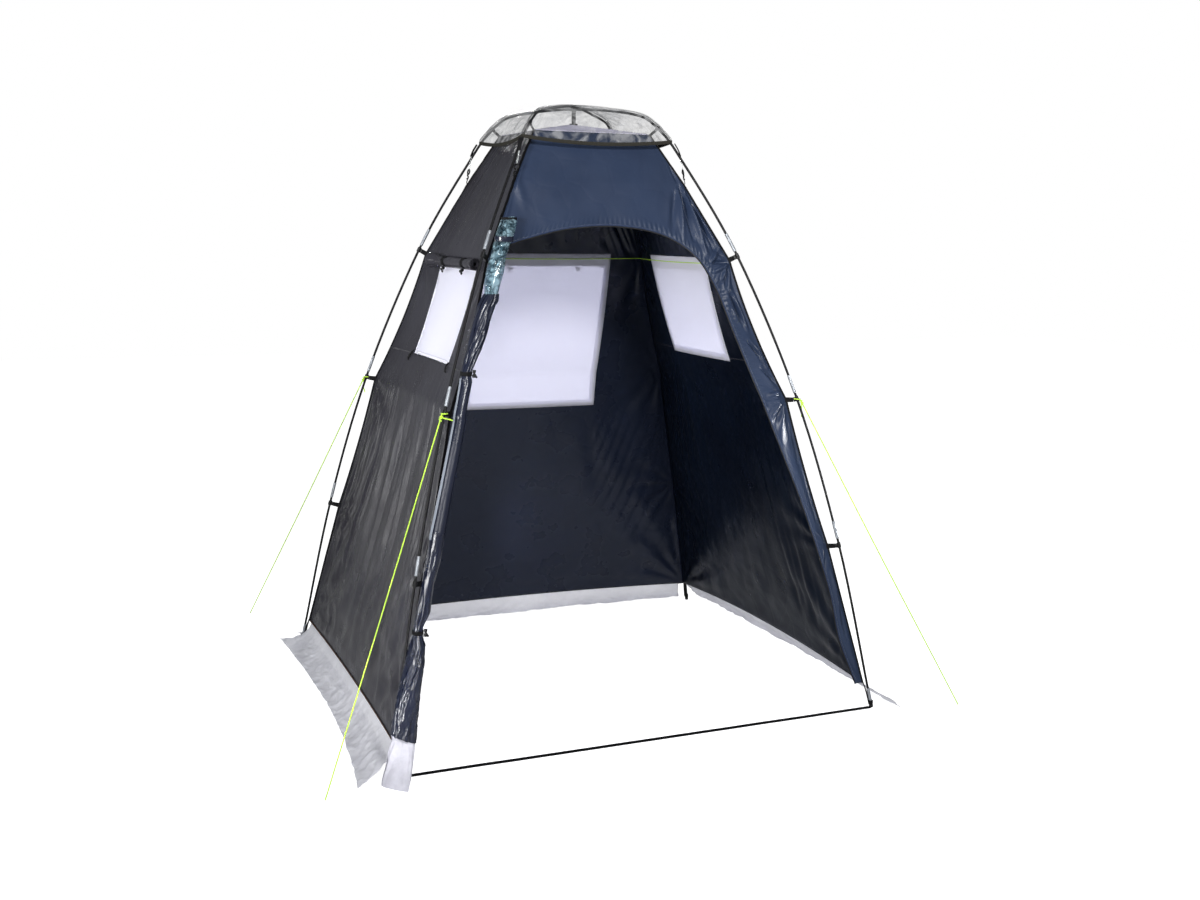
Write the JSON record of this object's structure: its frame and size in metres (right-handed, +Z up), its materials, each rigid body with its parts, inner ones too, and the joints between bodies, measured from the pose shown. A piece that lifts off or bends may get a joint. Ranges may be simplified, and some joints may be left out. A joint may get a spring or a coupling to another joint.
{
  "type": "toilet tent",
  "caption": "Tall narrow cloth tent hung from two crossing hoop poles, with an arched doorway, rolled door, film windows, mud flaps, guy lines and a clear rain cap.",
  "frame": {"origin": "middle of the doorway's threshold strap, on its flat underside, at ground level", "axes": "+X to the right of someone facing the doorway, +Y from the doorway into the tent, +Z up"},
  "size_m": [2.3456, 2.1092, 2.172],
  "materials": {
    "charcoal_cloth": "coated polyester, dull sheen",
    "navy_cloth": "coated polyester, dull sheen",
    "roof_cloth": "uncoated light polyester",
    "window_film": "milky film",
    "door_cloth": "glossy coated polyester, creased",
    "clear_film": "clear flexible film, glossy",
    "mud_film": "crinkled polythene sheet",
    "black_webbing": "woven webbing with moulded hooks",
    "black_rod": "fibreglass rod with plated ferrules",
    "lime_cord": "braided cord"
  },
  "bodies": {
    "root": {"back_blind": "navy_cloth", "back_wall": "navy_cloth", "back_window": "window_film", "cap_tie_back_left": "black_webbing", "cap_tie_back_right": "black_webbing", "cap_tie_front_left": "black_webbing", "cap_tie_front_right": "black_webbing", "corner_seam_back_left": "black_webbing", "corner_seam_back_right": "black_webbing", "corner_seam_front_left": "black_webbing", "corner_seam_front_right": "black_webbing", "crown_pole_lower": "black_rod", "crown_pole_upper": "black_rod", "door_flap": "mud_film", "door_roll": "door_cloth", "door_roll_window": "clear_film", "door_tie_lower": "black_webbing", "door_tie_upper": "black_webbing", "drying_line": "lime_cord", "front_panel": "navy_cloth", "guy_line_back_left": "lime_cord", "guy_line_back_right": "lime_cord", "guy_line_front_left": "lime_cord", "guy_line_front_right": "lime_cord", "left_blind": "charcoal_cloth", "left_wall": "charcoal_cloth", "left_window": "window_film", "leg_back_left": "black_rod", "leg_back_right": "black_rod", "leg_front_left": "black_rod", "leg_front_right": "black_rod", "mud_flap_back": "mud_film", "mud_flap_left": "mud_film", "mud_flap_right": "mud_film", "rain_cap": "clear_film", "rain_cap_hem": "black_webbing", "right_blind": "navy_cloth", "right_wall": "navy_cloth", "right_window": "window_film", "roof_hanger": "black_webbing", "roof_panel": "roof_cloth", "threshold_strap": "black_webbing"}
  },
  "joints": []
}
